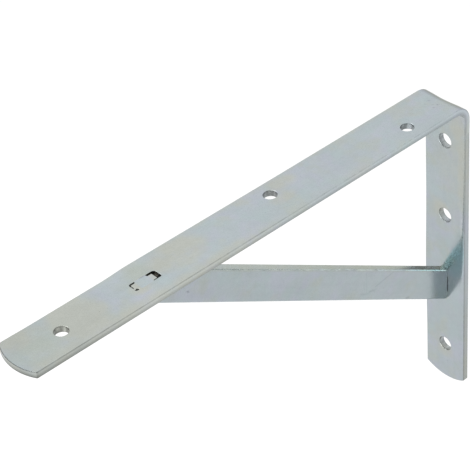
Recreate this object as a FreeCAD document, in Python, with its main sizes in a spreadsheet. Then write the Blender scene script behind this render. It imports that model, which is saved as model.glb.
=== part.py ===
import FreeCAD, Part
import Sketcher
import math
import os

# Gallows shelf bracket: a flat bar bent to a right-angled strap, and a flat bar on edge riveted in as its brace
# Millimetres and degrees. The origin is the centre of the top wall screw hole, in the plane of the wall
# +X points away from the wall along the shelf arm, +Z points up and Y runs across the strap

# Sizes that can be set by themselves
DRIVING = {
    # The strap that makes both the shelf arm and the wall leg
    "strap_width": 30,
    "strap_thickness": 4,
    "arm_length": 307,
    "leg_length": 209,
    "end_radius": 30,
    "crop_allowance": 3,
    "strap_edge_easing": 0.5,
    # The corner. Bending leaves its outside lower at mid-width, as if the bend were that much larger there
    "bend_inner_radius": 6.4,
    "bend_dip": 1,
    # Screw holes: reach from the wall, drop from the top of the arm, stagger either side of the centre line.
    # The hole nearest to each end is set back from that end
    "shelf_hole_diameter": 7.7,
    "inner_shelf_hole_reach": 39.8,
    "middle_shelf_hole_reach": 132.3,
    "outer_shelf_hole_setback": 30.9,
    "shelf_hole_stagger": 5.3,
    "wall_hole_diameter": 9.3,
    "top_wall_hole_drop": 30.5,
    "middle_wall_hole_drop": 83.6,
    "bottom_wall_hole_setback": 26,
    # The brace. Its centre line meets the underside of the arm at its reach
    "brace_width": 20,
    "brace_thickness": 5,
    "brace_angle": 31.2,
    "brace_reach": 220,
    "brace_tip_radius": 1.5,
    "brace_edge_easing": 0.5,
    # The tenons at the brace's ends, and the slots that take them
    "arm_tenon_length": 14,
    "arm_tenon_shift": 4.3,
    "leg_tenon_length": 11.2,
    "tenon_side_clearance": 0.7,
    "tenon_end_clearance": 0.25,
    "arm_slot_slack": 2.5,
    "slot_corner_radius": 1.2,
    # The peened head of each tenon, spread into a seat that tapers into the strap
    "peen_spread": 1.5,
    "peen_end_margin": 0.8,
    "peen_depth": 1,
    "peen_taper": 42,
    "peen_clearance": 0.05,
}

# Sizes and places that follow from them
DERIVED = {
    "half_width": "strap_width / 2",
    "shelf_plane": "top_wall_hole_drop",
    "underside": "shelf_plane - strap_thickness",
    "end_rise": "end_radius - sqrt(end_radius ^ 2 - half_width ^ 2)",
    "arm_shoulder": "arm_length - end_rise",
    "arm_blank_end": "arm_length + crop_allowance",
    "leg_shoulder": "shelf_plane - leg_length + end_rise",
    "leg_blank_end": "shelf_plane - leg_length - crop_allowance",
    "bend_outer_radius": "bend_inner_radius + strap_thickness",
    "bend_centre_height": "shelf_plane - bend_outer_radius",
    "dip_radius": "bend_outer_radius + bend_dip",
    "dip_centre_height": "shelf_plane - dip_radius",
    "dip_half_width": "half_width - strap_edge_easing",
    "dip_edge": "(bend_outer_radius - dip_radius) * (sqrt(2) - 1)",
    "dip_arc_radius": "(dip_half_width ^ 2 + dip_edge ^ 2) / (-2 * dip_edge)",
    "outer_shelf_hole_reach": "arm_length - outer_shelf_hole_setback",
    "middle_wall_hole_height": "shelf_plane - middle_wall_hole_drop",
    "bottom_wall_hole_height": "shelf_plane - leg_length + bottom_wall_hole_setback",
    "brace_half_thickness": "brace_thickness / 2",
    "brace_half_cut_at_arm": "brace_width / 2 / sin(brace_angle)",
    "brace_half_cut_at_leg": "brace_width / 2 / cos(brace_angle)",
    "brace_arm_inner": "brace_reach - brace_half_cut_at_arm",
    "brace_arm_outer": "brace_reach + brace_half_cut_at_arm",
    "brace_leg_height": "underside - (brace_reach - strap_thickness) * tan(brace_angle)",
    "brace_leg_top": "brace_leg_height + brace_half_cut_at_leg",
    "brace_leg_bottom": "brace_leg_height - brace_half_cut_at_leg",
    "arm_tenon_inner": "brace_reach + arm_tenon_shift - arm_tenon_length / 2",
    "arm_tenon_outer": "brace_reach + arm_tenon_shift + arm_tenon_length / 2",
    "leg_tenon_top": "brace_leg_height + leg_tenon_length / 2",
    "leg_tenon_bottom": "brace_leg_height - leg_tenon_length / 2",
    "slot_side": "brace_half_thickness + tenon_side_clearance",
    "slot_side_flat": "slot_side - slot_corner_radius",
    "arm_slot_inner": "arm_tenon_inner - tenon_end_clearance - arm_slot_slack",
    "arm_slot_inner_flat": "arm_slot_inner + slot_corner_radius",
    "arm_slot_outer": "arm_tenon_outer + tenon_end_clearance",
    "arm_slot_outer_flat": "arm_slot_outer - slot_corner_radius",
    "leg_slot_top": "leg_tenon_top + tenon_end_clearance",
    "leg_slot_top_flat": "leg_slot_top - slot_corner_radius",
    "leg_slot_bottom": "leg_tenon_bottom - tenon_end_clearance",
    "leg_slot_bottom_flat": "leg_slot_bottom + slot_corner_radius",
    "arm_peen_inner": "arm_tenon_inner + peen_end_margin",
    "arm_peen_outer": "arm_tenon_outer - peen_end_margin",
    "arm_peen_radius": "((arm_peen_outer - arm_peen_inner) ^ 2 / 4 + peen_spread ^ 2) / (2 * peen_spread)",
    "leg_peen_top": "leg_tenon_top - peen_end_margin",
    "leg_peen_bottom": "leg_tenon_bottom + peen_end_margin",
    "leg_peen_radius": "((leg_peen_top - leg_peen_bottom) ^ 2 / 4 + peen_spread ^ 2) / (2 * peen_spread)",
    "seat_side": "brace_half_thickness + peen_clearance",
}


# Fills the sheet: the plain numbers first, then the formulas
def make_sheet(doc):
    sheet = doc.addObject("Spreadsheet::Sheet", "sizes")
    cells = [(name, str(number)) for name, number in DRIVING.items()]
    cells += [(name, "=" + formula) for name, formula in DERIVED.items()]
    for row, (name, content) in enumerate(cells, start=1):
        sheet.set(f"A{row}", name)
        sheet.set(f"B{row}", content)
        sheet.setAlias(f"B{row}", name)
    doc.recompute()
    return sheet


# A place in a sketch is the name of a cell, the same with a minus sign, or zero
ZERO = "0"


def number_of(sheet, name):
    if name == ZERO:
        return 0.0
    if name.startswith("-"):
        return -sheet.get(name[1:])
    return sheet.get(name)


def formula_of(name):
    if name.startswith("-"):
        return "-sizes." + name[1:]
    return "sizes." + name


# A sketch on one of the body's own origin planes, or at a height above it
def add_sketch(body, name, plane_role, height=ZERO):
    sketch = body.newObject("Sketcher::SketchObject", name)
    plane = next(item for item in body.Origin.OriginFeatures if item.Role == plane_role)
    sketch.AttachmentSupport = (plane, [""])
    sketch.MapMode = "FlatFace"
    if height != ZERO:
        sketch.setExpression("AttachmentOffset.Base.z", formula_of(height))
    return sketch


def pin(sheet, sketch, item, point, across, up):
    for kind, name in (("DistanceX", across), ("DistanceY", up)):
        number = sketch.addConstraint(Sketcher.Constraint(kind, -1, 1, item, point, number_of(sheet, name)))
        if name != ZERO:
            sketch.setExpression(f"Constraints[{number}]", formula_of(name))


# The arc of a given radius from start to end, bulging to the right of the way there, or to the left
def arc_between(start, end, radius, bulge):
    chord = end - start
    rise = radius - math.sqrt(radius**2 - (chord.Length / 2) ** 2)
    sideways = FreeCAD.Vector(chord.y, -chord.x, 0).normalize() * rise
    if bulge == "inwards":
        sideways = -sideways
    return Part.Arc(start, (start + end) / 2 + sideways, end)


# A closed outline, anticlockwise. Each corner is (across, up), and (across, up, radius, bulge) starts an arc there
def add_outline(sheet, sketch, corners):
    points = [FreeCAD.Vector(number_of(sheet, corner[0]), number_of(sheet, corner[1]), 0) for corner in corners]
    starts = []
    ends = []
    for index, corner in enumerate(corners):
        start = points[index]
        end = points[(index + 1) % len(points)]
        if len(corner) == 2:
            item = sketch.addGeometry(Part.LineSegment(start, end), False)
            starts.append((item, 1))
            ends.append((item, 2))
            continue
        radius = number_of(sheet, corner[2])
        item = sketch.addGeometry(arc_between(start, end, radius, corner[3]), False)
        number = sketch.addConstraint(Sketcher.Constraint("Radius", item, radius))
        sketch.setExpression(f"Constraints[{number}]", formula_of(corner[2]))
        # A sketch keeps its arcs anticlockwise, so one that bulges inwards starts at its far end
        starts.append((item, 1 if corner[3] == "outwards" else 2))
        ends.append((item, 2 if corner[3] == "outwards" else 1))
    for index, corner in enumerate(corners):
        sketch.addConstraint(Sketcher.Constraint("Coincident", *ends[index - 1], *starts[index]))
        pin(sheet, sketch, *starts[index], corner[0], corner[1])


# Circles of one diameter for a set of screw holes
def add_circles(sheet, sketch, diameter, centres):
    for across, up in centres:
        centre = FreeCAD.Vector(number_of(sheet, across), number_of(sheet, up), 0)
        size = number_of(sheet, diameter)
        item = sketch.addGeometry(Part.Circle(centre, FreeCAD.Vector(0, 0, 1), size / 2), False)
        pin(sheet, sketch, item, 3, across, up)
        number = sketch.addConstraint(Sketcher.Constraint("Diameter", item, size))
        sketch.setExpression(f"Constraints[{number}]", formula_of(diameter))


# A rectangle with rounded corners, whose straight sides end at the cells named _flat
def slot_corners(left, right, bottom, top):
    corner = ("slot_corner_radius", "outwards")
    return [
        (left + "_flat", bottom),
        (right + "_flat", bottom, *corner),
        (right, bottom + "_flat"),
        (right, top + "_flat", *corner),
        (right + "_flat", top),
        (left + "_flat", top, *corner),
        (left, top + "_flat"),
        (left, bottom + "_flat", *corner),
    ]


# The outline of a peened head: square ends as wide as the tenon, and two sides that swell between them
def peen_corners(left, right, bottom, top, radius, swelling):
    corners = [(left, bottom), (right, bottom), (right, top), (left, top)]
    first = 0 if swelling == "across" else 1
    for index in (first, first + 2):
        corners[index] += (radius, "outwards")
    return corners


def add_pocket(body, name, sketch, depth="", into_normal=False):
    pocket = body.newObject("PartDesign::Pocket", name)
    pocket.Profile = sketch
    pocket.Reversed = into_normal
    if depth:
        pocket.setExpression("Length", formula_of(depth))
    else:
        pocket.Type = "ThroughAll"
    return pocket


def add_pad(body, name, sketch, depth, against_normal=False):
    pad = body.newObject("PartDesign::Pad", name)
    pad.Profile = sketch
    pad.Reversed = against_normal
    pad.setExpression("Length", formula_of(depth))
    return pad


# Rounds or bevels the edges of the body's newest feature that fit the description
def dress_edges(doc, body, name, kind, size, fits):
    doc.recompute()
    base = body.Tip
    chosen = [f"Edge{number}" for number, edge in enumerate(base.Shape.Edges, start=1) if fits(edge)]
    dressing = body.newObject("PartDesign::" + kind, name)
    dressing.Base = (base, chosen)
    dressing.setExpression("Radius" if kind == "Fillet" else "Size", formula_of(size))


# Drills one screw hole right through at each circle of the sketch
def drill(doc, body, name, sketch, diameter):
    doc.recompute()
    hole = body.newObject("PartDesign::Hole", name)
    hole.Profile = sketch
    hole.DepthType = "ThroughAll"
    hole.Threaded = False
    hole.setExpression("Diameter", formula_of(diameter))
    return hole


# The flat bar, bent once: the profile across the bend, as wide as the strap
def bend_blank(sheet, body):
    profile = add_sketch(body, "strap_profile", "XZ_Plane")
    corners = [
        ("arm_blank_end", "underside"),
        ("arm_blank_end", "shelf_plane"),
        ("bend_outer_radius", "shelf_plane", "bend_outer_radius", "outwards"),
        (ZERO, "bend_centre_height"),
        (ZERO, "leg_blank_end"),
        ("strap_thickness", "leg_blank_end"),
        ("strap_thickness", "bend_centre_height", "bend_inner_radius", "inwards"),
        ("bend_outer_radius", "underside"),
    ]
    add_outline(sheet, profile, corners)
    blank = add_pad(body, "bent_blank", profile, "strap_width")
    blank.SideType = "Symmetric"


# Crops both ends of the strap to a shallow arc
def crop_ends(sheet, body):
    arm_crop = add_sketch(body, "arm_crop_outline", "XY_Plane", "shelf_plane")
    corners = [
        ("arm_shoulder", "-half_width"),
        ("arm_blank_end", "-half_width"),
        ("arm_blank_end", "half_width"),
        ("arm_shoulder", "half_width", "end_radius", "inwards"),
    ]
    add_outline(sheet, arm_crop, corners)
    add_pocket(body, "arm_crop", arm_crop)
    leg_crop = add_sketch(body, "leg_crop_outline", "YZ_Plane", "strap_thickness")
    corners = [
        ("-half_width", "leg_blank_end"),
        ("half_width", "leg_blank_end"),
        ("half_width", "leg_shoulder", "end_radius", "inwards"),
        ("-half_width", "leg_shoulder"),
    ]
    add_outline(sheet, leg_crop, corners)
    add_pocket(body, "leg_crop", leg_crop)


# Takes the sharpness off the long edges of the bar
def ease_strap(doc, sheet, body):
    side = number_of(sheet, "half_width")
    longer_than = 1.5 * number_of(sheet, "strap_thickness")

    def runs_along_the_strap(edge):
        box = edge.BoundBox
        in_side_face = box.YLength < 1e-6 and abs(abs(box.YMin) - side) < 1e-6
        return in_side_face and edge.Length > longer_than

    dress_edges(doc, body, "eased_edges", "Chamfer", "strap_edge_easing", runs_along_the_strap)


# Lowers the outside of the bend towards mid-width: a shallow arc turned about a line behind the bend
def dip_bend(sheet, body):
    section = add_sketch(body, "dip_section", "XY_Plane", "dip_centre_height")
    corners = [
        ("dip_edge", "dip_half_width"),
        ("dip_edge", "-dip_half_width", "dip_arc_radius", "outwards"),
    ]
    add_outline(sheet, section, corners)
    reach = number_of(sheet, "dip_radius")
    half = number_of(sheet, "half_width")
    axis = sketch_line(section, (reach, -half), (reach, half))
    pin(sheet, section, axis, 1, "dip_radius", "-half_width")
    pin(sheet, section, axis, 2, "dip_radius", "half_width")
    groove = body.newObject("PartDesign::Groove", "bend_dip")
    groove.Profile = section
    groove.ReferenceAxis = (section, ["Axis0"])
    groove.Angle = 90
    groove.Reversed = True


def sketch_line(sketch, start, end):
    line = Part.LineSegment(FreeCAD.Vector(*start, 0), FreeCAD.Vector(*end, 0))
    return sketch.addGeometry(line, True)


# Three shelf screw holes, two of them staggered either side of the centre line, and three wall screw holes on it
def drill_strap(doc, sheet, body):
    shelf_holes = add_sketch(body, "shelf_hole_centres", "XY_Plane", "shelf_plane")
    centres = [
        ("inner_shelf_hole_reach", "shelf_hole_stagger"),
        ("middle_shelf_hole_reach", "-shelf_hole_stagger"),
        ("outer_shelf_hole_reach", ZERO),
    ]
    add_circles(sheet, shelf_holes, "shelf_hole_diameter", centres)
    drill(doc, body, "shelf_holes", shelf_holes, "shelf_hole_diameter")
    wall_holes = add_sketch(body, "wall_hole_centres", "YZ_Plane", "strap_thickness")
    centres = [(ZERO, ZERO), (ZERO, "middle_wall_hole_height"), (ZERO, "bottom_wall_hole_height")]
    add_circles(sheet, wall_holes, "wall_hole_diameter", centres)
    drill(doc, body, "wall_holes", wall_holes, "wall_hole_diameter")


# A slot through each leg of the strap for a tenon of the brace
def slot_strap(sheet, body):
    arm_slot = add_sketch(body, "arm_slot_outline", "XY_Plane", "shelf_plane")
    add_outline(sheet, arm_slot, slot_corners("arm_slot_inner", "arm_slot_outer", "-slot_side", "slot_side"))
    add_pocket(body, "arm_slot", arm_slot)
    leg_slot = add_sketch(body, "leg_slot_outline", "YZ_Plane", "strap_thickness")
    add_outline(sheet, leg_slot, slot_corners("-slot_side", "slot_side", "leg_slot_bottom", "leg_slot_top"))
    add_pocket(body, "leg_slot", leg_slot)


# The outlines of both peened heads, for the heads themselves or, a little wider, for their seats
def add_peen_outlines(sheet, body, side):
    arm_peen = add_sketch(body, "arm_peen_outline", "XY_Plane", "shelf_plane")
    ends = ("arm_peen_inner", "arm_peen_outer")
    add_outline(sheet, arm_peen, peen_corners(*ends, "-" + side, side, "arm_peen_radius", "across"))
    leg_peen = add_sketch(body, "leg_peen_outline", "YZ_Plane")
    ends = ("leg_peen_bottom", "leg_peen_top")
    add_outline(sheet, leg_peen, peen_corners("-" + side, side, *ends, "leg_peen_radius", "up"))
    return arm_peen, leg_peen


# Tapered seats around the outer mouths of both slots, where the peened heads bite
def sink_seats(sheet, body):
    arm_peen, leg_peen = add_peen_outlines(sheet, body, "seat_side")
    arm_seat = add_pocket(body, "arm_seat", arm_peen, "peen_depth")
    arm_seat.setExpression("TaperAngle", "-sizes.peen_taper")
    leg_seat = add_pocket(body, "leg_seat", leg_peen, "peen_depth", into_normal=True)
    leg_seat.setExpression("TaperAngle", "-sizes.peen_taper")


def make_angle_strap(doc, sheet):
    body = doc.addObject("PartDesign::Body", "angle_strap")
    bend_blank(sheet, body)
    crop_ends(sheet, body)
    ease_strap(doc, sheet, body)
    dip_bend(sheet, body)
    drill_strap(doc, sheet, body)
    slot_strap(sheet, body)
    sink_seats(sheet, body)
    return body


# The flat bar on edge, cut to lie along both legs of the strap, with a tenon standing out of each cut end
def cut_brace(sheet, body):
    side_view = add_sketch(body, "brace_side_view", "XZ_Plane")
    corners = [
        ("brace_arm_outer", "underside"),
        ("arm_tenon_outer", "underside"),
        ("arm_tenon_outer", "shelf_plane"),
        ("arm_tenon_inner", "shelf_plane"),
        ("arm_tenon_inner", "underside"),
        ("brace_arm_inner", "underside"),
        ("strap_thickness", "brace_leg_top"),
        ("strap_thickness", "leg_tenon_top"),
        (ZERO, "leg_tenon_top"),
        (ZERO, "leg_tenon_bottom"),
        ("strap_thickness", "leg_tenon_bottom"),
        ("strap_thickness", "brace_leg_bottom"),
    ]
    add_outline(sheet, side_view, corners)
    bar = add_pad(body, "brace_bar", side_view, "brace_thickness")
    bar.SideType = "Symmetric"


# Blunts the two sharp tips of the bar, then takes the sharpness off its long edges
def ease_brace(doc, sheet, body):
    tips = [
        (number_of(sheet, "brace_arm_outer"), number_of(sheet, "underside")),
        (number_of(sheet, "strap_thickness"), number_of(sheet, "brace_leg_bottom")),
    ]

    def crosses_a_tip(edge):
        box = edge.BoundBox
        flat_on = box.XLength < 1e-6 and box.ZLength < 1e-6
        return flat_on and any(math.hypot(box.XMin - x, box.ZMin - z) < 1e-6 for x, z in tips)

    dress_edges(doc, body, "blunted_tips", "Fillet", "brace_tip_radius", crosses_a_tip)
    side = number_of(sheet, "brace_half_thickness")
    longer_than = number_of(sheet, "brace_reach") / 2

    def runs_along_the_bar(edge):
        box = edge.BoundBox
        in_side_face = box.YLength < 1e-6 and abs(abs(box.YMin) - side) < 1e-6
        return in_side_face and edge.Length > longer_than

    dress_edges(doc, body, "eased_edges", "Chamfer", "brace_edge_easing", runs_along_the_bar)


# Spreads the end of each tenon into its seat, flush with the outer face of the strap
def peen_tenons(sheet, body):
    arm_peen, leg_peen = add_peen_outlines(sheet, body, "brace_half_thickness")
    arm_head = add_pad(body, "arm_peened_head", arm_peen, "peen_depth", against_normal=True)
    arm_head.setExpression("TaperAngle", "-sizes.peen_taper")
    leg_head = add_pad(body, "leg_peened_head", leg_peen, "peen_depth")
    leg_head.setExpression("TaperAngle", "-sizes.peen_taper")


def make_diagonal_brace(doc, sheet):
    body = doc.addObject("PartDesign::Body", "diagonal_brace")
    cut_brace(sheet, body)
    ease_brace(doc, sheet, body)
    peen_tenons(sheet, body)
    return body


# Each feature must have added or removed material in the way that its kind does
def check_features(body):
    adding = "PartDesign::Pad"
    volume = 0.0
    for feature in body.Group:
        if not feature.isDerivedFrom("PartDesign::Feature"):
            continue
        change = feature.Shape.Volume - volume
        volume = feature.Shape.Volume
        if (change > 0) != (feature.TypeId == adding) or change == 0:
            raise RuntimeError(f"{body.Label}: {feature.Label} changed the volume by {change:.4f} mm3")


def check_document(doc, bodies):
    for item in doc.Objects:
        if "Invalid" in item.State or "Error" in item.State:
            raise RuntimeError(f"{item.Label} failed: {item.State}")
    for body in bodies:
        check_features(body)
        if body.Shape.isNull() or not body.Shape.isValid() or len(body.Shape.Solids) != 1:
            raise RuntimeError(f"{body.Label} is not one valid solid")


def main():
    doc = FreeCAD.newDocument("gallows_shelf_bracket")
    sheet = make_sheet(doc)
    bodies = [make_angle_strap(doc, sheet), make_diagonal_brace(doc, sheet)]
    for body in bodies:
        body.Label = body.Name
        body.Placement = FreeCAD.Placement()
    doc.recompute()
    check_document(doc, bodies)
    os.makedirs("parts", exist_ok=True)
    for body in bodies:
        body.Shape.exportStep(f"parts/{body.Label}.step")
        print(body.Label, round(body.Shape.Volume, 2), "mm3")


main()
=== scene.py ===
import math

import bpy
import numpy as np
from mathutils import Euler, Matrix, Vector
from mathutils.geometry import delaunay_2d_cdt


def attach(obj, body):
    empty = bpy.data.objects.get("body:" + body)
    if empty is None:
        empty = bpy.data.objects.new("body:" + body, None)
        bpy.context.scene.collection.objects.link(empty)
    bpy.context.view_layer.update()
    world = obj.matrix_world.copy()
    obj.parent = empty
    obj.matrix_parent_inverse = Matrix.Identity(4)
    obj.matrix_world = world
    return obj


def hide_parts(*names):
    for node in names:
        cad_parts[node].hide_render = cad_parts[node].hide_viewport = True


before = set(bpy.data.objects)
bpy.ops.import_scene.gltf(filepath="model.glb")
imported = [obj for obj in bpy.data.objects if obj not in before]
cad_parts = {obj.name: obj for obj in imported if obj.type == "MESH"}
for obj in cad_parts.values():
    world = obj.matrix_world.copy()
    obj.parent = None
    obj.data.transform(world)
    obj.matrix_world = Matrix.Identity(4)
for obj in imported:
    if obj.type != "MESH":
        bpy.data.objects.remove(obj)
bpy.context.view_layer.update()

# Gallows shelf bracket: the looks of its bent strap and its riveted brace
# Lengths in this file are millimetres until a mesh is made, and metres after that
MM = 0.001

# The strap, as in the CAD model
STRAP_WIDTH = 30.0
STRAP_THICKNESS = 4.0
SHELF_PLANE = 30.5
ARM_LENGTH = 307.0
LEG_LENGTH = 209.0
END_RADIUS = 30.0
BEND_INNER_RADIUS = 6.4
SHELF_HOLES = [(39.8, 5.3), (132.3, -5.3), (276.1, 0.0)]
SHELF_HOLE_RADIUS = 3.85
WALL_HOLE_DROPS = [30.5, 83.6, 183.0]
WALL_HOLE_RADIUS = 4.65

# The brace, as in the CAD model
BRACE_WIDTH = 20.0
BRACE_THICKNESS = 5.0
BRACE_ANGLE = math.radians(31.2)
BRACE_REACH = 220.0
BRACE_TIP_ROUNDING = 1.8
ARM_TENON = (217.3, 231.3)
LEG_TENON_HALF = 5.6
ARM_SLOT = (214.8, 231.55)
ARM_SLOT_SIDES = (-2.75, 3.65)
LEG_SLOT_HALF = 5.85
LEG_SLOT_SIDES = (-3.2, 2.2)
# The brace stands a little askew: this is how far its centre line is off the strap's, at each end
BRACE_OFF_AT_LEG = -0.5
BRACE_OFF_AT_ARM = 0.35

# Places along the flat bar before it is bent: 0 where the bend starts on the arm, more towards the arm's end
MIDLINE_RADIUS = BEND_INNER_RADIUS + STRAP_THICKNESS / 2
TURN = MIDLINE_RADIUS * math.pi / 2
FLAT_FROM = BEND_INNER_RADIUS + STRAP_THICKNESS
HALF_WIDTH = STRAP_WIDTH / 2


def on_arm(reach):
    return reach - FLAT_FROM


def on_leg(height):
    return height - (SHELF_PLANE - FLAT_FROM) - TURN


# How long the runs of an outline are: on the strap's and the brace's, round the strap's ends, round a slot
# and in a rounding. A hole has a fixed count of them
OUTLINE_STEP = 1.5
END_STEP = 1.3
SLOT_STEP = 0.6
ROUNDING_STEP = 0.3
HOLE_POINTS = 52


# Closed outlines in the flat. Material is always on the left of the way round
def arc(centre, radius, start, end, step):
    count = max(2, round(abs(end - start) * radius / step))
    angles = [start + (end - start) * index / count for index in range(count + 1)]
    return [(centre[0] + radius * math.cos(a), centre[1] + radius * math.sin(a)) for a in angles]


def circle(centre, radius):
    angles = [-2 * math.pi * index / HOLE_POINTS for index in range(HOLE_POINTS)]
    return [(centre[0] + radius * math.cos(a), centre[1] + radius * math.sin(a)) for a in angles]


# Rounds each corner (across, up, rounding) and splits the runs between them
def soften(corners, step):
    points = []
    count = len(corners)
    for index, (x, y, rounding) in enumerate(corners):
        here = Vector((x, y))
        if not rounding:
            points.append(here)
            continue
        back = (Vector(corners[index - 1][:2]) - here).normalized()
        ahead = (Vector(corners[(index + 1) % count][:2]) - here).normalized()
        half = back.angle(ahead) / 2
        reach = rounding / math.tan(half)
        first, last = here + back * reach, here + ahead * reach
        bends = max(3, round(rounding * (math.pi - 2 * half) / ROUNDING_STEP))
        for part in range(bends + 1):
            share = part / bends
            a = first.lerp(here, share)
            b = here.lerp(last, share)
            points.append(a.lerp(b, share))
    whole = []
    for start, end in zip(points, points[1:] + points[:1]):
        parts = max(1, math.ceil((end - start).length / step - 1e-6))
        whole += [tuple(start.lerp(end, part / parts)) for part in range(parts)]
    return whole


# A slot, with the rounding of each corner given from the lower left one, anticlockwise
def slot_outline(left, right, bottom, top, roundings):
    places = [(left, bottom), (right, bottom), (right, top), (left, top)]
    corners = [(*place, rounding) for place, rounding in zip(places, roundings)]
    return soften(corners[::-1], SLOT_STEP)


# The distance of each point from an outline
def distance_to(points, loop):
    a = np.array(loop)
    run = np.roll(a, -1, axis=0) - a
    nearest = np.full(len(points), np.inf)
    for start, step in zip(a, run):
        share = np.clip(((points - start) @ step) / (step @ step), 0, 1)
        away = points - start - share[:, None] * step
        nearest = np.minimum(nearest, np.hypot(away[:, 0], away[:, 1]))
    return nearest


# A point that ends up nearer to the outline than this share of the distance has folded over at a corner
FOLDED_SHARE = 0.985


# The same outline moved into the material. At a tight corner, the points that fold over are left out
def inset(loop, distance):
    points = np.array(loop)
    if distance == 0:
        return points
    ahead = np.roll(points, -1, axis=0) - points
    ahead /= np.linalg.norm(ahead, axis=1)[:, None]
    normals = np.stack([-ahead[:, 1], ahead[:, 0]], axis=1)
    both = normals + np.roll(normals, 1, axis=0)
    both /= np.maximum((both * normals).sum(axis=1), 0.5)[:, None]
    moved = points + both * distance
    return moved[distance_to(moved, loop) > distance * FOLDED_SHARE]


def is_inside(points, loop):
    a = np.array(loop)
    b = np.roll(a, -1, axis=0)
    x, y = points[:, 0:1], points[:, 1:2]
    crosses = (a[:, 1] > y) != (b[:, 1] > y)
    rise = np.where(b[:, 1] == a[:, 1], 1e-9, b[:, 1] - a[:, 1])
    meets = a[:, 0] + (y - a[:, 1]) * (b[:, 0] - a[:, 0]) / rise
    return (crosses & (x < meets)).sum(axis=1) % 2 == 1


# Where the rings of points lie on a rounded edge, as shares of its quarter turn, and how far behind it two
# more rings hold the face flat
ROUNDING_STEPS = (0.0, 0.15, 0.42, 0.72, 1.0)
SUPPORTS = (0.15, 0.8)
# How far an inner point keeps from those rings, and the depth that it counts with
INNER_GAP = 0.3
INNER_DEPTH = 9.0
# Points nearer together than the first are one point, and points less deep than the second are on the edge
SAME_POINT = 1e-5
ON_EDGE = 0.02
# Rows of points on a wall: this far from its rounded edges, and between them at shares of the thickness
WALL_SUPPORT = 0.2
WALL_ROWS = (0.7, 0.4)
# How strongly the outer rows of a wall count as edge. On the face, the edge's tone runs on a little behind
# the rounding, and fades over this share of it
WALL_RIM = 0.3
RIM_BEHIND = 0.15
RIM_FADE = 0.6


# The inner points that lie in the material, clear of every edge
def clear_of_edges(points, loops):
    kept = points[is_inside(points, loops[0][0])]
    apart = np.full(len(kept), np.inf)
    for loop, rounding, _ in loops:
        apart = np.minimum(apart, distance_to(kept, loop) - rounding - SUPPORTS[-1])
    for loop, _, _ in loops[1:]:
        apart[is_inside(kept, loop)] = -1
    return kept[apart > INNER_GAP]


# The face of a plate: its points, its triangles, how deep each point lies behind its outline, the number of
# that outline, and the points of each outline in turn
def make_face(loops, inner_points):
    flat, depths, owner, edges, rings = [], [], [], [], []
    for number, (loop, rounding, _) in enumerate(loops):
        distances = [rounding * (1 - math.cos(step * math.pi / 2)) for step in ROUNDING_STEPS]
        distances += [rounding + extra for extra in SUPPORTS]
        for distance in distances:
            start = len(flat)
            ring = inset(loop, distance)
            flat += [tuple(point) for point in ring]
            depths += [distance] * len(ring)
            owner += [number] * len(ring)
            if distance <= rounding and len(ring) == len(loop):
                edges += [(start + i, start + (i + 1) % len(ring)) for i in range(len(ring))]
            if distance == 0:
                rings.append(range(start, start + len(ring)))
    kept = clear_of_edges(inner_points, loops)
    flat += [tuple(point) for point in kept]
    depths += [INNER_DEPTH] * len(kept)
    owner += [0] * len(kept)

    made = delaunay_2d_cdt([Vector(p) for p in flat], edges, [], 0, SAME_POINT)
    points = np.array([tuple(p) for p in made[0]])
    faces = np.array(made[2])
    sources = made[3]
    middles = points[faces].mean(axis=1)
    keep = is_inside(middles, loops[0][0])
    for loop, _, _ in loops[1:]:
        keep &= ~is_inside(middles, loop)
    depth = np.array([min(depths[i] for i in source) for source in sources])
    part_of = np.array([owner[min(source, key=lambda i: depths[i])] for source in sources])
    now_at = {i: number for number, source in enumerate(sources) for i in source}
    return points, faces[keep], depth, part_of, [[now_at[i] for i in ring] for ring in rings]


# A flat plate with rounded edges. Each loop is (outline, rounding of its edges, how hollow its walls count)
# Its height runs from 0 to the thickness. It has its points' places, its polygons and its edge measures
def make_plate(loops, thickness, inner_points):
    points, faces, depth, part_of, outlines = make_face(loops, inner_points)
    rounding = np.array([loop[1] for loop in loops])[part_of]
    hollow = np.array([loop[2] for loop in loops])[part_of]
    short = np.clip(rounding - depth, 0, None)
    drop = rounding - np.sqrt(np.clip(rounding**2 - short**2, 0, None))
    rim = np.clip((rounding + RIM_BEHIND - depth) / (RIM_FADE * rounding + RIM_BEHIND), 0, 1)
    count = len(points)
    vertices = [np.column_stack([points, thickness - drop]), np.column_stack([points, drop])]
    rims, cuts, hollows = [rim, rim], [np.zeros(count)] * 2, [hollow * (depth < ON_EDGE)] * 2
    polygons = [tuple(f) for f in faces] + [tuple(f[::-1] + count) for f in faces]

    total = 2 * count
    for around, (_, edge_rounding, hollow_share) in zip(outlines, loops):
        highest, lowest = thickness - edge_rounding - WALL_SUPPORT, edge_rounding + WALL_SUPPORT
        rows = [around]
        for height in (highest, *(share * thickness for share in WALL_ROWS), lowest):
            rows.append(list(range(total, total + len(around))))
            vertices.append(np.column_stack([points[around], np.full(len(around), height)]))
            rims.append(np.full(len(around), WALL_RIM if height in (highest, lowest) else 0.0))
            cuts.append(np.ones(len(around)))
            hollows.append(np.full(len(around), hollow_share))
            total += len(around)
        rows.append([i + count for i in around])
        for upper, lower in zip(rows, rows[1:]):
            for i in range(len(around)):
                j = (i + 1) % len(around)
                polygons.append((upper[i], lower[i], lower[j], upper[j]))
    return {
        "place": np.concatenate(vertices),
        "polygons": polygons,
        "rim": np.concatenate(rims),
        "cut": np.concatenate(cuts),
        "hollow": np.concatenate(hollows),
    }


# What the finish reads at each point: how much it is an edge, a cut wall or the inside of a hole, how much
# duller it is from marks and painted shade and highlight, and how strong each stain or painted reflection is
# there
MEASURES = ("rim", "cut", "hollow", "dull", "warm", "green", "violet", "sea")


# Fills in the measures that a plate doesn't set by itself
def measured(plate):
    for key in MEASURES:
        plate.setdefault(key, np.zeros(len(plate["place"])))
    return plate


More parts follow.
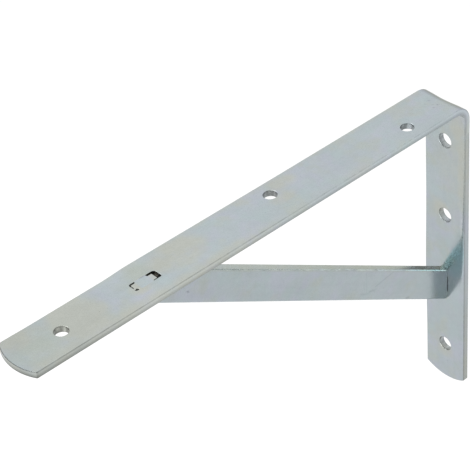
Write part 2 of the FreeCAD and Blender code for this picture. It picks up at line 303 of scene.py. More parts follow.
def joined(plates):
    shift = 0
    polygons = []
    for plate in plates:
        polygons += [tuple(int(i) + shift for i in polygon) for polygon in plate["polygons"]]
        shift += len(plate["place"])
    whole = {"polygons": polygons}
    for key in ("place", "flat", *MEASURES):
        whole[key] = np.concatenate([measured(plate)[key] for plate in plates])
    return whole


# A mesh object in metres, with the flat place and the measures for the finish to read
def mesh_object(name, plate):
    mesh = bpy.data.meshes.new(name)
    polygons = [tuple(int(i) for i in polygon) for polygon in plate["polygons"]]
    mesh.from_pydata((plate["place"] * MM).tolist(), [], polygons)
    flat = mesh.attributes.new("bar_place", "FLOAT_VECTOR", "POINT")
    flat.data.foreach_set("vector", (plate["flat"] * MM).astype(np.float32).ravel())
    for key in MEASURES:
        layer = mesh.attributes.new(key, "FLOAT", "POINT")
        layer.data.foreach_set("value", measured(plate)[key].astype(np.float32))
    mesh.shade_smooth()
    thing = bpy.data.objects.new(name, mesh)
    bpy.context.scene.collection.objects.link(thing)
    return thing


# Rows of points over a strip, with about the given steps between them
def grid(left, right, bottom, top, across, up):
    columns = max(2, round((right - left) / across))
    rows = max(2, round((top - bottom) / up))
    xs = np.linspace(left, right, columns + 1)
    ys = np.linspace(bottom, top, rows + 1)
    return np.array([(x, y) for x in xs for y in ys])


# Sums of sockets, written as they are spoken. They serve both kinds of node tree
class Wire:
    def __init__(self, tree, socket):
        self.tree = tree
        self.socket = socket

    def math(self, operation, *others):
        node = self.tree.nodes.new("ShaderNodeMath")
        node.operation = operation
        for slot, value in zip(node.inputs, (self, *others)):
            plug(self.tree, value, slot)
        return Wire(self.tree, node.outputs[0])

    def __add__(self, other):
        return self.math("ADD", other)

    def __sub__(self, other):
        return self.math("SUBTRACT", other)

    def __mul__(self, other):
        return self.math("MULTIPLY", other)

    def __truediv__(self, other):
        return self.math("DIVIDE", other)

    __radd__ = __add__
    __rmul__ = __mul__

    def __rsub__(self, other):
        return (self * -1.0) + other

    def __rtruediv__(self, other):
        return self.power(-1.0) * other

    def power(self, other):
        return self.math("POWER", other)

    def least(self, other):
        return self.math("MINIMUM", other)

    def most(self, other):
        return self.math("MAXIMUM", other)


def plug(tree, value, socket):
    if isinstance(value, Wire):
        tree.links.new(value.socket, socket)
    else:
        socket.default_value = value


def add_node(tree, kind, inputs=None, **settings):
    node = tree.nodes.new(kind)
    for key, value in settings.items():
        setattr(node, key, value)
    for key, value in (inputs or {}).items():
        plug(tree, value, node.inputs[key])
    return node


# A bump that is 1 at the middle of a reach and fades smoothly to 0 at its ends
def faded(distance, reach):
    return (1.0 - (distance / reach).least(1.0).power(2.0)).power(2.0)


# The sizes of the bend. Its outside sinks a little near mid-width, its near edge stands up, and the inside
# bulges sideways
BEND_INPUTS = {
    "Thickness": STRAP_THICKNESS * MM,
    "Half width": HALF_WIDTH * MM,
    "Inner radius": BEND_INNER_RADIUS * MM,
    "Shelf plane": SHELF_PLANE * MM,
    "Dip": 0.4 * MM,
    "Dip place": -1.5 * MM,
    "Dip half width": 12.5 * MM,
    "Dip reach": 10.0 * MM,
    "Raised edge": 0.15 * MM,
    "Raised reach": 14.0 * MM,
    "Side bulge": 0.3 * MM,
    "Side bulge reach": 10.0 * MM,
    "Waviness": 0.03 * MM,
    "Wave size": 14.0 * MM,
}
WAVE_SEED = 3.0
# The share of the thickness, from the inside, at which the bent bar keeps its width
KEEPS_WIDTH_AT = 0.6


# Bends the flat bar over the corner
def make_bend_tree():
    tree = bpy.data.node_groups.new("bend_over_corner", "GeometryNodeTree")
    tree.interface.new_socket("Geometry", in_out="INPUT", socket_type="NodeSocketGeometry")
    for label, size in BEND_INPUTS.items():
        tree.interface.new_socket(label, in_out="INPUT", socket_type="NodeSocketFloat").default_value = size
    tree.interface.new_socket("Finish", in_out="INPUT", socket_type="NodeSocketMaterial")
    tree.interface.new_socket("Geometry", in_out="OUTPUT", socket_type="NodeSocketGeometry")
    source = tree.nodes.new("NodeGroupInput")
    size = {label: Wire(tree, source.outputs[label]) for label in BEND_INPUTS}
    thickness, half = size["Thickness"], size["Half width"]
    place = add_node(tree, "GeometryNodeInputPosition").outputs[0]
    parts = add_node(tree, "ShaderNodeSeparateXYZ", {0: Wire(tree, place)})
    along, across, height = (Wire(tree, socket) for socket in parts.outputs)

    middle = size["Inner radius"] + thickness * 0.5
    outer = size["Inner radius"] + thickness
    turn = middle * (math.pi / 2)
    angle = (along * -1.0 / middle).most(0.0).least(math.pi / 2)
    on_arm_side = along.most(0.0)
    on_leg_side = (along * -1.0 - turn).most(0.0)
    off_middle = (along + turn * 0.5).math("ABSOLUTE")
    outside = height / thickness

    off_dip = (across - size["Dip place"]).math("ABSOLUTE")
    dip = size["Dip"] * faded(off_middle, size["Dip reach"])
    dip = dip * faded(off_dip, size["Dip half width"]) * outside
    near = (across / half).most(0.0).least(1.0)
    raised = size["Raised edge"] * faded(off_middle, size["Raised reach"]) * near.power(2.0) * outside
    wave = add_node(
        tree, "ShaderNodeTexNoise",
        {"Vector": Wire(tree, place), "W": WAVE_SEED, "Scale": 1.0 / size["Wave size"], "Detail": 1.0},
        noise_dimensions="4D",
    )
    ripple = size["Waviness"] * (Wire(tree, wave.outputs[0]) - 0.5)
    bulge = size["Side bulge"] * faded(off_middle, size["Side bulge reach"])
    bulge = bulge * (KEEPS_WIDTH_AT - outside) * (across / half)

    radius = size["Inner radius"] + height - dip + raised + ripple
    x = outer + on_arm_side - radius * angle.math("SINE")
    z = size["Shelf plane"] - outer + radius * angle.math("COSINE") - on_leg_side
    bent = add_node(tree, "ShaderNodeCombineXYZ", {0: x, 1: across + bulge, 2: z})
    moved = add_node(
        tree, "GeometryNodeSetPosition",
        {"Geometry": Wire(tree, source.outputs["Geometry"]), "Position": Wire(tree, bent.outputs[0])},
    )
    whole = add_node(tree, "GeometryNodeRealizeInstances", {0: Wire(tree, moved.outputs[0])})
    finished = add_node(
        tree, "GeometryNodeSetMaterial",
        {"Geometry": Wire(tree, whole.outputs[0]), "Material": Wire(tree, source.outputs["Finish"])},
    )
    end = tree.nodes.new("NodeGroupOutput")
    tree.links.new(finished.outputs[0], end.inputs[0])
    return tree


# Runs a node tree on an object and keeps the result as a plain mesh
def settle(thing, tree, finish):
    step = thing.modifiers.new(tree.name, "NODES")
    step.node_group = tree
    for item in tree.interface.items_tree:
        if item.in_out == "INPUT" and item.name == "Finish":
            step[item.identifier] = finish
    bpy.context.view_layer.update()
    state = bpy.context.evaluated_depsgraph_get()
    bent = thing.evaluated_get(state)
    mesh = bpy.data.meshes.new_from_object(bent, preserve_all_data_layers=True, depsgraph=state)
    thing.modifiers.remove(step)
    thing.data = mesh
    mesh.name = thing.name
    return thing


# The greys of the zinc, of its stains and of its painted reflections, and the brown deep in a hole
BLUE_GREY = (0.408, 0.457, 0.478, 1.0)
WARM_GREY = (0.441, 0.457, 0.414, 1.0)
GREEN_GREY = (0.414, 0.452, 0.414, 1.0)
VIOLET_GREY = (0.425, 0.451, 0.512, 1.0)
TEAL_GREY = (0.398, 0.466, 0.478, 1.0)
BROWN_GREY = (0.47, 0.44, 0.35, 1.0)
SEA_GREY = (0.335, 0.49, 0.53, 1.0)
# Broad clouds of tint over the blue grey: (size, seed, noise where one begins and is full, strength, tint)
CLOUDS = [
    (17.0, 1.3, 0.45, 0.62, 0.7, VIOLET_GREY),
    (13.0, 7.7, 0.48, 0.66, 0.6, GREEN_GREY),
    (8.0, 3.9, 0.48, 0.66, 0.7, TEAL_GREY),
]
# The tint of each measure of stain or of painted reflection
STAIN_AND_REFLECTION_TINTS = [("violet", VIOLET_GREY), ("green", GREEN_GREY), ("warm", WARM_GREY), ("sea", SEA_GREY)]


# Every pattern is moved off the grid of its noise by this share of its size
OFF_GRID = 0.37


# What a coat of zinc is mixed from. Every pattern reads the place on the flat bar, so it follows the bend
class Coat:
    def __init__(self, tree):
        self.tree = tree
        bar = add_node(tree, "ShaderNodeAttribute", attribute_name="bar_place")
        self.place = Wire(tree, bar.outputs["Vector"])

    def measure(self, name):
        node = add_node(self.tree, "ShaderNodeAttribute", attribute_name=name)
        return Wire(self.tree, node.outputs["Fac"])

    # A stretch below 1 draws the clouds out along the bar, across it or through its thickness
    def clouds(self, size, seed, detail=2.0, stretch=(1.0, 1.0, 1.0)):
        off_grid = (0.0, 0.0, OFF_GRID * size * MM)
        turned = add_node(
            self.tree, "ShaderNodeMapping",
            {"Vector": self.place, "Location": off_grid, "Scale": stretch},
        )
        moved = Wire(self.tree, turned.outputs[0])
        noise = add_node(
            self.tree, "ShaderNodeTexNoise",
            {"Vector": moved, "W": seed, "Scale": 1 / (size * MM), "Detail": detail},
            noise_dimensions="4D",
        )
        return Wire(self.tree, noise.outputs[0])

    # Grows smoothly from 0 to 1 between two values
    def between(self, value, low, high):
        node = add_node(self.tree, "ShaderNodeMapRange", {"Value": value, "From Min": low, "From Max": high})
        node.interpolation_type = "SMOOTHSTEP"
        return Wire(self.tree, node.outputs[0])

    def tinted(self, share, under, over, blend="MIX"):
        node = self.tree.nodes.new("ShaderNodeMix")
        node.data_type = "RGBA"
        node.blend_type = blend
        plug(self.tree, share, node.inputs["Factor"])
        for value, socket in ((under, node.inputs[6]), (over, node.inputs[7])):
            plug(self.tree, value, socket)
        return Wire(self.tree, node.outputs[2])


# Bluish grey with clouds, stains and painted reflection tints
def zinc_tint(coat):
    blotches = coat.clouds(9.0, 4.1, 3.0)
    colour = BLUE_GREY
    for size, seed, begins, full, strength, tint in CLOUDS:
        cloud = coat.between(coat.clouds(size, seed, 3.0), begins, full)
        colour = coat.tinted(cloud * strength, colour, tint)
    for name, tint in STAIN_AND_REFLECTION_TINTS:
        share = coat.between(coat.measure(name) * (0.75 + (blotches - 0.5) * 1.6), 0.0, 0.9)
        colour = coat.tinted(share * 0.9, colour, tint)
    return colour


# How bright the zinc is: faint streaks and clouds, a few dark specks, dull marks, painted shade and
# highlights, a broken line along the edges, and mottled walls in the holes, with painted shade where hollow
# and at their rims
def zinc_shade(coat, streaks, rim, cut, hollow):
    mottle = coat.clouds(2.2, 9.4, 2.0, (1.0, 1.0, 0.35))
    shade = 1.0 + (streaks - 0.5) * 0.07 + (coat.clouds(20.0, 8.3) - 0.5) * 0.13
    shade = shade + (coat.clouds(4.5, 9.4, 3.0) - 0.5) * 0.09 + (coat.clouds(1.1, 2.9) - 0.5) * 0.13
    specks = coat.between(coat.clouds(1.6, 5.5, 1.0), 0.78, 0.81)
    shade = shade * (1.0 - specks * 0.2) * (1.0 - coat.measure("dull"))
    shade = shade * (1.0 + rim * (coat.clouds(1.6, 6.7, 2.0, (0.5, 1.0, 1.0)) - 0.5) * 0.7)
    shade = shade * (1.0 + cut * hollow * (0.25 - coat.between(mottle, 0.40, 0.60) * 1.1))
    return shade * (1.0 - hollow.power(3.0) * 0.65) * (1.0 - hollow * rim * 0.9)


# How high the surface stands: fine grain and streaks, shallow pits, and scoring down the walls of the holes
def zinc_relief(coat, streaks, cut, hollow):
    grain = coat.clouds(0.7, 3.1, 2.0)
    pits = coat.between(coat.clouds(2.2, 8.8, 2.0), 0.62, 0.76)
    relief = (grain - 0.5) * 0.06 + (streaks - 0.5) * 0.15 - pits * 0.15
    return relief + hollow * cut * coat.clouds(0.8, 4.4, 2.0, (1.0, 1.0, 0.2))


def make_zinc():
    finish = bpy.data.materials.new("zinc_plating")
    finish.use_nodes = True
    tree = finish.node_tree
    tree.nodes.clear()
    coat = Coat(tree)
    rim, cut, hollow = (coat.measure(name) for name in ("rim", "cut", "hollow"))
    streaks = coat.clouds(3.0, 2.2, 3.0, (0.06, 1.0, 1.0))
    colour = coat.tinted(hollow.power(3.0), zinc_tint(coat), BROWN_GREY)
    shade = zinc_shade(coat, streaks, rim, cut, hollow)
    grey = add_node(tree, "ShaderNodeCombineColor", {0: shade, 1: shade, 2: shade})
    colour = coat.tinted(1.0, colour, Wire(tree, grey.outputs[0]), "MULTIPLY")

    roughness = 0.23 + (coat.clouds(7.0, 6.2, 3.0) - 0.5) * 0.06 + rim * 0.05 + cut * 0.10 + hollow * 0.15
    relief = zinc_relief(coat, streaks, cut, hollow)
    bump = add_node(tree, "ShaderNodeBump", {"Height": relief, "Distance": 0.02 * MM, "Strength": 1.0})
    normal = Wire(tree, bump.outputs[0])
    shader = add_node(
        tree, "ShaderNodeBsdfPrincipled",
        {"Base Color": colour, "Roughness": roughness, "Normal": normal, "Metallic": 1.0},
    )
    end = tree.nodes.new("ShaderNodeOutputMaterial")
    tree.links.new(shader.outputs[0], end.inputs["Surface"])
    return finish


# Stains on both faces of the arm: (reach, across, half length, half width, strength)
WARM_STAINS = [
    (129.0, 1.0, 11.0, 6.0, 1.0),
    (122.0, -9.0, 13.0, 8.0, 1.0),
    (146.0, -11.0, 7.0, 4.0, 0.8),
    (198.0, -4.0, 22.0, 14.0, 1.4),
    (229.0, 3.0, 8.0, 7.0, 1.0),
    (224.0, -1.0, 12.0, 3.5, 0.8),
    (264.0, -2.0, 19.0, 24.0, 1.5),
    (297.0, -11.0, 18.0, 9.0, 1.1),
    (297.0, 14.0, 18.0, 4.5, 0.9),
    (20.0, -12.5, 5.0, 3.0, 0.6),
]
GREEN_STAINS = [
    (222.0, -8.0, 12.0, 9.0, 0.9),
    (292.0, 0.0, 22.0, 20.0, 1.0),
    (244.0, 12.0, 12.0, 6.0, 0.7),
    (14.0, -12.0, 4.0, 4.0, 0.5),
]
VIOLET_STAINS = [
    (232.0, 9.0, 9.0, 6.0, 0.7),
    (16.0, 4.0, 9.0, 6.0, 0.6),
    (88.0, 3.0, 20.0, 9.0, 0.4),
]
# Stains on both faces of the leg: (height, across, half length, half width, strength)
LEG_WARM_STAINS = [
    (-15.0, 12.5, 48.0, 5.0, 1.1),
    (-50.0, -3.0, 9.0, 9.0, 1.0),
    (-157.0, 0.0, 8.0, 9.0, 0.9),
    (-10.0, 4.0, 30.0, 18.0, 0.6),
    (-30.0, 7.0, 40.0, 8.0, 0.6),
    (10.0, 9.5, 17.0, 8.0, 1.2),
]
# A sea green painted reflection of the brace on the leg's inner face, beside its foot. It ends at a slanting
# line, given by its height at mid-width, how much it rises towards the near side and how wide the change is
LEG_SEA_REFLECTION = [
    (-78.0, 6.0, 22.0, 13.0, 1.1),
]
SEA_LINE_HEIGHT = -85.0
SEA_LINE_RISE = 1.8
SEA_LINE_WIDTH = 3.5

# How warm the arm's near edge is at each reach
NEAR_EDGE_WARMTH = [(50.0, 0.0), (73.0, 0.4), (89.0, 0.5), (104.0, 0.3), (135.0, 0.35), (154.0, 0.85),
                    (181.0, 0.9), (225.0, 0.8)]
# How warm its far edge is, and between which distances from each edge the warmth fades
FAR_EDGE_WARMTH = 0.55
NEAR_EDGE_FADES = (0.5, 9.0)
FAR_EDGE_FADES = (0.3, 4.5)

# The cut sides' shades are painted shade and highlight, standing in for what their rounded faces reflect
# How much darker the cut sides are, from the outer face (0) to the inner one (1), on the arm and on the leg
ARM_SIDE_SHADE = [(0.0, -0.08), (0.13, -0.16), (0.3, -0.27), (0.6, -0.04), (0.87, 0.13), (1.0, 0.26)]
LEG_SIDE_SHADE = [(0.0, 0.10), (0.15, 0.03), (0.4, -0.07), (0.7, -0.03), (1.0, 0.12)]
# The arm's shades hold round the bend, down to this far under the shelf plane
ARM_SIDE_ENDS = 20.0
# Where the sides grow darker and warmer towards the ends, between two reaches on the arm and two distances
# under the shelf plane on the leg, how much darker they get, and how warm the leg's get against the arm's
ARM_FADES = (225.0, 300.0)
LEG_FADES = (70.0, 200.0)
ARM_FADE_SHADE = 0.26
LEG_FADE_SHADE = 0.12
LEG_FADE_WARMTH = 0.8
# How much darker the arm's edges are at each reach, partly wear and partly painted shade, with painted
# highlight where less than 0, how much more than that they are on the leg, and how far under the shelf plane
# this grows
EDGE_SHADE = [(60.0, -0.08), (110.0, -0.04), (155.0, 0.10), (200.0, 0.07), (250.0, 0.18), (300.0, 0.24)]
LEG_EDGE_SHADE = 0.22
LEG_EDGE_GROWS = (10.0, 30.0)
# The arm's round end, where painted shade holds back its highlights: how wide its edge is, how much darker
# its wall is at the near side, and how much that edge is
ROUND_EDGE_WIDTH = 0.6
ROUND_WALL_SHADE = 0.14
ROUND_EDGE_SHADE = 0.35
# A band of painted shade over the outside of the bend: where it grows and fades, from the bend's start on
# the arm, and how dark it is
BEND_BAND_GROWS = (0.3, 3.6)
BEND_BAND_FADES = (8.0, 13.0)
BEND_BAND_SHADE = 0.30
# How much darker the whole strap is, and its arm from the brace's head on
BASE_SHADE = 0.02
ARM_END_SHADE = 0.08
ARM_END_FADES = (232.0, 300.0)
# A painted highlight on the leg's inner face beside the brace's foot: how much brighter it is at each
# height, and where across the leg the bright strip begins and ends
BESIDE_FOOT_LIGHT = [(-72.0, 0.0), (-64.0, 0.3), (-58.0, 0.45), (-51.0, 0.2), (-44.0, 0.12), (-38.0, 0.0)]
BESIDE_FOOT_GROWS = (12.0, 13.0)
BESIDE_FOOT_FADES = (13.8, 14.4)

# Small knocks on the outside of the strap near the bend: (reach, across, radius, depth)
KNOCKS = [
    (13.3, -3.5, 1.0, 0.14),
    (14.7, -5.1, 0.7, 0.07),
    (17.4, -2.2, 0.8, 0.08),
    (15.0, 0.9, 1.0, 0.07),
    (13.0, 2.8, 0.9, 0.20),
    (16.5, 3.2, 1.0, 0.15),
    (12.3, -5.6, 0.8, 0.05),
    (19.4, -1.0, 0.7, 0.04),
    (15.1, 4.8, 0.6, 0.05),
]
# How much darker the deepest of them is, as painted shade in the dents and marked zinc
DEEPEST_KNOCK = 0.2
KNOCK_SHADE = 0.22


# How far each point lies within a set of soft oval stains
def stained(flat, stains, place_along):
    depth = np.zeros(len(flat))
    for along, across, half_length, half_width, strength in stains:
        away = np.hypot((flat[:, 0] - place_along(along)) / half_length, (flat[:, 1] - across) / half_width)
        depth = np.maximum(depth, strength * np.clip(1 - away**2, 0, 1))
    return depth


def smooth_step(values, low, high):
    share = np.clip((values - low) / (high - low), 0, 1)
    return share * share * (3 - 2 * share)


# The value that a table of rows (place, value) gives at each point
def from_table(table, points, place_along=float):
    return np.interp(points, [place_along(row[0]) for row in table], [row[1] for row in table])


def is_outer_face(flat):
    return flat[:, 2] > STRAP_THICKNESS / 2


# How far each point is along the stretch in which the sides fade, on the arm and on the leg
def faded_on_arm(flat):
    return smooth_step(flat[:, 0], on_arm(ARM_FADES[0]), on_arm(ARM_FADES[1]))


def faded_on_leg(flat):
    return smooth_step(-flat[:, 0], *(-on_leg(SHELF_PLANE - drop) for drop in LEG_FADES))


# The strap's cut sides and ends, and their edges at the inner face
def outer_sides(flat, rim, cut):
    near_side = np.abs(flat[:, 1]) > HALF_WIDTH - 1
    near_end = (flat[:, 0] > on_arm(ARM_LENGTH) - 5) | (flat[:, 0] < on_leg(SHELF_PLANE - LEG_LENGTH) + 5)
    return np.clip(cut + (flat[:, 2] < 1) * rim, 0, 1) * (near_side | near_end)


# Painted light on the cut sides: brightest near the outer face, and darker towards both ends
def side_shade(flat):
    depth = 1 - flat[:, 2] / STRAP_THICKNESS
    on_arm_part = flat[:, 0] > on_leg(SHELF_PLANE - ARM_SIDE_ENDS)
    shade = np.where(on_arm_part, from_table(ARM_SIDE_SHADE, depth), from_table(LEG_SIDE_SHADE, depth))
    return shade + ARM_FADE_SHADE * faded_on_arm(flat) + LEG_FADE_SHADE * faded_on_leg(flat)


# Darker edges: partly wear, partly painted shade and highlight
def edge_shade(flat):
    on_leg_part = smooth_step(-flat[:, 0], *(-on_leg(SHELF_PLANE - drop) for drop in LEG_EDGE_GROWS))
    return from_table(EDGE_SHADE, flat[:, 0], on_arm) + LEG_EDGE_SHADE * on_leg_part


# Painted shade on the arm's round end and its edge
def round_end_shade(flat, rim, cut):
    from_arc = END_RADIUS - np.hypot(flat[:, 0] - on_arm(ARM_LENGTH) + END_RADIUS, flat[:, 1])
    at_arc = (from_arc < ROUND_EDGE_WIDTH) & (flat[:, 0] > on_arm(ARM_LENGTH - 6))
    wall = ROUND_WALL_SHADE * smooth_step(flat[:, 1], 0.0, 10.0)
    return at_arc * np.where(cut > 0.5, wall, ROUND_EDGE_SHADE * rim)


# The band of painted shade over the outside of the bend
def bend_band(flat, cut):
    band = smooth_step(-flat[:, 0], *BEND_BAND_GROWS) * (1 - smooth_step(-flat[:, 0], *BEND_BAND_FADES))
    return BEND_BAND_SHADE * band * is_outer_face(flat) * (1 - cut)


# The painted highlight beside the brace's foot
def beside_foot(flat, cut):
    light = from_table(BESIDE_FOOT_LIGHT, flat[:, 0], on_leg) * (flat[:, 2] < 1) * (1 - cut)
    strip = smooth_step(flat[:, 1], *BESIDE_FOOT_GROWS) * (1 - smooth_step(flat[:, 1], *BESIDE_FOOT_FADES))
    return light * strip


def strap_warmth(flat, sides):
    near_edge = from_table(NEAR_EDGE_WARMTH, flat[:, 0], on_arm)
    near_edge *= 1 - smooth_step(HALF_WIDTH - flat[:, 1], *NEAR_EDGE_FADES)
    far_edge = 1 - smooth_step(HALF_WIDTH + flat[:, 1], *FAR_EDGE_FADES)
    far_edge *= FAR_EDGE_WARMTH * (flat[:, 0] > 0)
    ends = sides * np.maximum(faded_on_arm(flat), LEG_FADE_WARMTH * faded_on_leg(flat))
    faces = np.maximum(stained(flat, WARM_STAINS, on_arm), stained(flat, LEG_WARM_STAINS, on_leg))
    return np.maximum.reduce([faces, ends, near_edge, far_edge])


# Where the painted sea green reflection of the brace lies on the leg's inner face, and how strong it is
def painted_brace_reflection(flat, rim, cut):
    below_line = on_leg(SEA_LINE_HEIGHT) + SEA_LINE_RISE * flat[:, 1] - flat[:, 0]
    reflection_share = stained(flat, LEG_SEA_REFLECTION, on_leg) * (flat[:, 2] < 1) * (1 - cut) * (1 - rim)
    return reflection_share * smooth_step(below_line, 0.0, SEA_LINE_WIDTH)


# The strap's stains and tints, and its painted shade and highlights
def tint_strap(plate):
    flat, rim, cut = plate["flat"], plate["rim"], plate["cut"]
    sides = outer_sides(flat, rim, cut)
    spots = [(reach, across, size, size, depth / DEEPEST_KNOCK) for reach, across, size, depth in KNOCKS]
    knocks = stained(flat, spots, on_arm) * is_outer_face(flat)
    arm_end = smooth_step(flat[:, 0], on_arm(ARM_END_FADES[0]), on_arm(ARM_END_FADES[1]))
    shade = BASE_SHADE + sides * side_shade(flat) + (1 - cut) * rim * edge_shade(flat)
    shade += round_end_shade(flat, rim, cut) + KNOCK_SHADE * knocks + bend_band(flat, cut)
    plate["dull"] = shade + ARM_END_SHADE * arm_end * (1 - sides) - beside_foot(flat, cut)
    plate["warm"] = strap_warmth(flat, sides)
    plate["green"] = stained(flat, GREEN_STAINS, on_arm)
    plate["sea"] = painted_brace_reflection(flat, rim, cut)
    plate["violet"] = np.maximum(stained(flat, VIOLET_STAINS, on_arm), knocks)


END_CORNER_ROUNDING = 0.7


# The flat bar in plan, with an arc at each end
def strap_outline():
    tip_leg = on_leg(SHELF_PLANE - LEG_LENGTH)
    tip_arm = on_arm(ARM_LENGTH)
    swing = math.asin(HALF_WIDTH / END_RADIUS)
    arm_end = arc((tip_arm - END_RADIUS, 0), END_RADIUS, -swing, swing, END_STEP)
    leg_end = arc((tip_leg + END_RADIUS, 0), END_RADIUS, math.pi - swing, math.pi + swing, END_STEP)
    corners = []
    for end in (arm_end, leg_end):
        for index, (x, y) in enumerate(end):
            corners.append((x, y, END_CORNER_ROUNDING if index in (0, len(end) - 1) else 0))
    return soften(corners, OUTLINE_STEP)


# How far the far edge stands out where the slots were punched: (reach, bulge), on the leg (height, bulge)
ARM_BULGE = [(120.0, 0.0), (150.0, 0.2), (190.0, 0.5), (212.0, 0.65), (224.0, 0.75), (230.0, 0.4),
             (238.0, 0.05), (285.0, 0.1), (300.0, 0.4), (307.0, 0.4)]
LEG_BULGE = [(-145.0, 0.0), (-125.0, 0.25), (-110.0, 0.55), (-94.0, 0.7), (-78.0, 0.5), (-58.0, 0.15),
             (-40.0, 0.0)]
# The arm's end is filed this much shorter, growing between two distances from it
END_FILED = 0.2
END_STRETCH = (8.0, 2.0)
# The leg's inner near edge is rolled over: how wide and how deep. It begins between two distances under the
# shelf plane
ROLLED_WIDTH = 1.9
ROLLED_DEPTH = 0.3
ROLLED_FROM = (32.0, 18.0)


# The strap as worked: knocked near the bend, bulged beside its slots, filed at the arm's end and rolled over
# at the leg's inner near edge
def work_strap(place):
    for reach, across, radius, depth in KNOCKS:
        away = np.hypot(place[:, 0] - on_arm(reach), place[:, 1] - across) / radius
        sunk = depth * np.clip(1 - away**2, 0, None) ** 2
        place[:, 2] -= np.where(is_outer_face(place), sunk, 0)
    along, across = place[:, 0].copy(), place[:, 1].copy()
    toward_far = np.clip(-across / HALF_WIDTH, 0, 1) ** 2
    for rows, place_along in ((ARM_BULGE, on_arm), (LEG_BULGE, on_leg)):
        place[:, 1] -= from_table(rows, along, place_along) * toward_far
    place[:, 0] -= END_FILED * smooth_step(along, *(on_arm(ARM_LENGTH - back) for back in END_STRETCH))
    rolled = np.clip(1 - (HALF_WIDTH - across) / ROLLED_WIDTH, 0, 1) ** 2
    rolled *= 1 - smooth_step(along, *(on_leg(SHELF_PLANE - drop) for drop in ROLLED_FROM))
    place[:, 2] += ROLLED_DEPTH * rolled * (place[:, 2] < 1)


# Roundings of each slot's corners, anticlockwise from the one on the far side that is nearest the leg's foot
ARM_SLOT_ROUNDINGS = (2.0, 1.4, 1.0, 0.9)
LEG_SLOT_ROUNDINGS = (1.2, 1.2, 0.8, 0.8)
# For each outline: how rounded its edges are, and how hollow its walls count, which gives them painted shade
STRAP_EDGE = (0.32, 0.0)
SHELF_HOLE_EDGE = (0.3, 0.45)
WALL_HOLE_EDGE = (0.35, 0.3)
ARM_SLOT_EDGE = (0.15, 1.0)
LEG_SLOT_EDGE = (0.15, 0.8)
# Past this reach, more light gets into the arm's slot, so its walls and the tenon in it count as less hollow
SLOT_LIT_FROM = 226.0
SLOT_LIT_SHARE = 0.65
# The steps between the points on the faces, along and across: on the plain runs, at the painted reflection
# beside the brace's foot, over the bend and at the knocks beside it
PLAIN_STEPS = (2.4, 2.2)
REFLECTION_STEPS = (1.2, 1.1)
BEND_STEPS = (0.8, 1.4)
KNOCK_STEPS = (0.5, 0.5)
# How far all these points keep from the long edges. The knocks' points lie between two places along the bar,
# and the painted reflection's between two heights and on from a place across
FACE_MARGIN = 1.6
KNOCK_FIELD = (-2.0, 14.0)
REFLECTION_FIELD = (-108.0, -58.0)
REFLECTION_FROM_ACROSS = -4.0


def make_strap(finish):
    loops = [(strap_outline(), *STRAP_EDGE)]
    for reach, across in SHELF_HOLES:
        loops.append((circle((on_arm(reach), across), SHELF_HOLE_RADIUS), *SHELF_HOLE_EDGE))
    for drop in WALL_HOLE_DROPS:
        loops.append((circle((on_leg(SHELF_PLANE - drop), 0), WALL_HOLE_RADIUS), *WALL_HOLE_EDGE))
    arm_slot = slot_outline(on_arm(ARM_SLOT[0]), on_arm(ARM_SLOT[1]), *ARM_SLOT_SIDES, ARM_SLOT_ROUNDINGS)
    loops.append((arm_slot, *ARM_SLOT_EDGE))
    bottom, top = (on_leg(leg_tenon_middle() + side * LEG_SLOT_HALF) for side in (-1, 1))
    loops.append((slot_outline(bottom, top, *LEG_SLOT_SIDES, LEG_SLOT_ROUNDINGS), *LEG_SLOT_EDGE))
    left, right = on_leg(SHELF_PLANE - LEG_LENGTH), on_arm(ARM_LENGTH)
    side = HALF_WIDTH - FACE_MARGIN
    lowest, highest = (on_leg(height) for height in REFLECTION_FIELD)
    first, last = KNOCK_FIELD
    inner = [
        grid(left, -TURN - 5, -side, side, *PLAIN_STEPS),
        grid(lowest, highest, REFLECTION_FROM_ACROSS, side, *REFLECTION_STEPS),
        grid(-TURN - 4, first - 0.5, -side, side, *BEND_STEPS),
        grid(first, last, -side, side, *KNOCK_STEPS),
        grid(last + 1, right, -side, side, *PLAIN_STEPS),
    ]
    plate = make_plate(loops, STRAP_THICKNESS, np.concatenate(inner))
    plate["flat"] = plate["place"].copy()
    lit = (plate["flat"][:, 0] > on_arm(SLOT_LIT_FROM)) & (plate["hollow"] == 1)
    plate["hollow"] *= np.where(lit, SLOT_LIT_SHARE, 1.0)
    tint_strap(plate)
    work_strap(plate["place"])
    thing = mesh_object("angle_strap_steel", plate)
    return settle(thing, make_bend_tree(), finish)


def leg_tenon_middle():
    underside = SHELF_PLANE - STRAP_THICKNESS
    return underside - (BRACE_REACH - STRAP_THICKNESS) * math.tan(BRACE_ANGLE)


# The rounding of the brace's plain corners, and how far under the outer faces its tenons end in their heads
CRISP = 0.25
TENON_SUNK = 0.5


# The brace seen from the side: reach and height
def brace_outline():
    underside = SHELF_PLANE - STRAP_THICKNESS
    half_at_arm = BRACE_WIDTH / 2 / math.sin(BRACE_ANGLE)
    half_at_leg = BRACE_WIDTH / 2 / math.cos(BRACE_ANGLE)
    middle = leg_tenon_middle()
    corners = [
        (BRACE_REACH + half_at_arm, underside, BRACE_TIP_ROUNDING),
        (ARM_TENON[1], underside, 0),
        (ARM_TENON[1], SHELF_PLANE - TENON_SUNK, CRISP),
        (ARM_TENON[0], SHELF_PLANE - TENON_SUNK, CRISP),
        (ARM_TENON[0], underside, 0),
        (BRACE_REACH - half_at_arm, underside, CRISP),
        (STRAP_THICKNESS, middle + half_at_leg, CRISP),
        (STRAP_THICKNESS, middle + LEG_TENON_HALF, 0),
        (TENON_SUNK, middle + LEG_TENON_HALF, CRISP),
        (TENON_SUNK, middle - LEG_TENON_HALF, CRISP),
        (STRAP_THICKNESS, middle - LEG_TENON_HALF, 0),
        (STRAP_THICKNESS, middle - half_at_leg, BRACE_TIP_ROUNDING),
    ]
    return soften(corners, OUTLINE_STEP)


